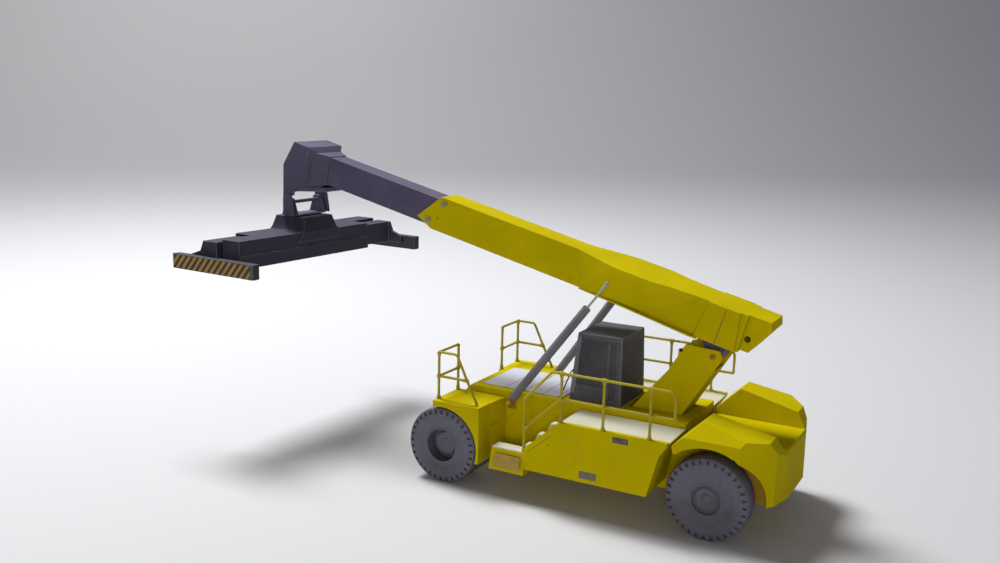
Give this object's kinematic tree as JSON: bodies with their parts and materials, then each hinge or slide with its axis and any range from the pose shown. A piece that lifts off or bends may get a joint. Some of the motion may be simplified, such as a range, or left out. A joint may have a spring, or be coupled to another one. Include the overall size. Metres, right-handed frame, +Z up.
{
  "type": "card model of a container reach stacker",
  "caption": "Yellow card model of a container reach stacker with a telescopic boom, turning spreader and free wheels.",
  "frame": {"origin": "on the floor under the middle of the whole model's length and width", "axes": "+X forward to the spreader, +Y to the machine's left, +Z up"},
  "size_m": [0.1624, 0.0714, 0.0818],
  "materials": {
    "yellow_card": "printed matt card",
    "white_card": "bare white card",
    "grey_sheet": "printed grey card",
    "cab_card": "painted dark grey card",
    "slate_card": "painted slate card",
    "tyre_card": "painted laminated card",
    "ram_card": "rolled and painted paper",
    "wire": "plain wire",
    "yellow_wire": "painted wire"
  },
  "bodies": {
    "boom_extension": {"boom_head": "slate_card", "inner_boom": "slate_card"},
    "boom": {"boom_tongue": "slate_card", "outer_boom": "yellow_card"},
    "chassis": {"cab": "cab_card", "counterweight": "yellow_card", "deck_sheet": "grey_sheet", "front_axle": "ram_card", "front_fender_left": "yellow_card", "front_fender_right": "yellow_card", "front_rail_left": "yellow_wire", "front_rail_right": "yellow_wire", "main_frame": "yellow_card", "rear_axle": "ram_card", "side_box_left": "yellow_card", "side_box_right": "yellow_card", "side_rail_left": "yellow_wire", "side_rail_right": "yellow_wire", "step_box_left": "yellow_card", "step_box_right": "yellow_card", "tower": "yellow_card", "walkway_left": "white_card", "walkway_right": "white_card"},
    "spreader_arm_left": {"end_beam_left": "slate_card", "spreader_arm_left": "slate_card"},
    "spreader_arm_right": {"end_beam_right": "slate_card", "spreader_arm_right": "slate_card"},
    "front_wheel_left": {"front_hub_left": "tyre_card", "front_tyre_left_inner": "tyre_card", "front_tyre_left_outer": "tyre_card"},
    "front_wheel_right": {"front_hub_right": "tyre_card", "front_tyre_right_inner": "tyre_card", "front_tyre_right_outer": "tyre_card"},
    "hanger": {"hanger": "slate_card"},
    "lift_rod_left": {"lift_rod_left": "wire"},
    "lift_rod_right": {"lift_rod_right": "wire"},
    "lift_tube_left": {"lift_tube_left": "ram_card"},
    "lift_tube_right": {"lift_tube_right": "ram_card"},
    "rear_wheel_left": {"rear_hub_left": "tyre_card", "rear_tyre_left": "tyre_card"},
    "rear_wheel_right": {"rear_hub_right": "tyre_card", "rear_tyre_right": "tyre_card"},
    "spreader": {"rotator_block": "slate_card", "spreader_sleeve": "slate_card"}
  },
  "joints": [
    {"name": "front_wheel_left_spin", "type": "hinge", "parent": "chassis", "child": "front_wheel_left", "pos_m": [0.00128, 0, 0.0096], "axis": [0, 1, 0], "continuous": true},
    {"name": "front_wheel_right_spin", "type": "hinge", "parent": "chassis", "child": "front_wheel_right", "pos_m": [0.00128, 0, 0.0096], "axis": [0, 1, 0], "continuous": true},
    {"name": "rear_wheel_left_spin", "type": "hinge", "parent": "chassis", "child": "rear_wheel_left", "pos_m": [-0.06632, 0, 0.0096], "axis": [0, 1, 0], "continuous": true},
    {"name": "rear_wheel_right_spin", "type": "hinge", "parent": "chassis", "child": "rear_wheel_right", "pos_m": [-0.06632, 0, 0.0096], "axis": [0, 1, 0], "continuous": true},
    {"name": "boom_hoist", "type": "hinge", "parent": "chassis", "child": "boom", "pos_m": [-0.06112, 0, 0.0379], "axis": [0, -1, 0], "range_deg": [-13.9, 41.1]},
    {"name": "lift_tube_left_swing", "type": "hinge", "parent": "chassis", "child": "lift_tube_left", "pos_m": [-0.01182, 0.0121, 0.0202], "axis": [0, 1, 0], "range_deg": [-3.5, 1.22]},
    {"name": "lift_rod_left_slide", "type": "slide", "parent": "lift_tube_left", "child": "lift_rod_left", "axis": [-0.5848, -0.0896, 0.8062], "range_m": [-0.00702, 0.02067]},
    {"name": "lift_tube_right_swing", "type": "hinge", "parent": "chassis", "child": "lift_tube_right", "pos_m": [-0.01182, -0.0121, 0.0202], "axis": [0, 1, 0], "range_deg": [-3.5, 1.22]},
    {"name": "lift_rod_right_slide", "type": "slide", "parent": "lift_tube_right", "child": "lift_rod_right", "axis": [-0.5848, 0.0896, 0.8062], "range_m": [-0.00702, 0.02067]},
    {"name": "boom_extend", "type": "slide", "parent": "boom", "child": "boom_extension", "axis": [-0.9707, 0, -0.2402], "range_m": [-0.038, 0.026]},
    {"name": "hanger_tilt", "type": "hinge", "parent": "boom_extension", "child": "hanger", "pos_m": [0.06392, 0, 0.06462], "axis": [0, 1, 0], "range_deg": [-20, 47]},
    {"name": "spreader_rotate", "type": "hinge", "parent": "hanger", "child": "spreader", "pos_m": [0.06392, 0, 0.06082], "axis": [0, 0, 1], "range_deg": [-100, 190]},
    {"name": "spreader_arm_left_slide", "type": "slide", "parent": "spreader", "child": "spreader_arm_left", "axis": [0.061, 0.9981, 0], "range_m": [0, 0.034]},
    {"name": "spreader_arm_right_slide", "type": "slide", "parent": "spreader", "child": "spreader_arm_right", "axis": [-0.061, -0.9981, 0], "range_m": [0, 0.034]}
  ],
  "couplings": [
    {"joint": "lift_tube_left_swing", "follows": "boom_hoist", "ratio": -0.084},
    {"joint": "lift_rod_left_slide", "follows": "boom_hoist", "m_per_rad": 0.02875},
    {"joint": "lift_tube_right_swing", "follows": "boom_hoist", "ratio": -0.084},
    {"joint": "lift_rod_right_slide", "follows": "boom_hoist", "m_per_rad": 0.02875},
    {"joint": "spreader_arm_right_slide", "follows": "spreader_arm_left_slide", "ratio": 1}
  ]
}
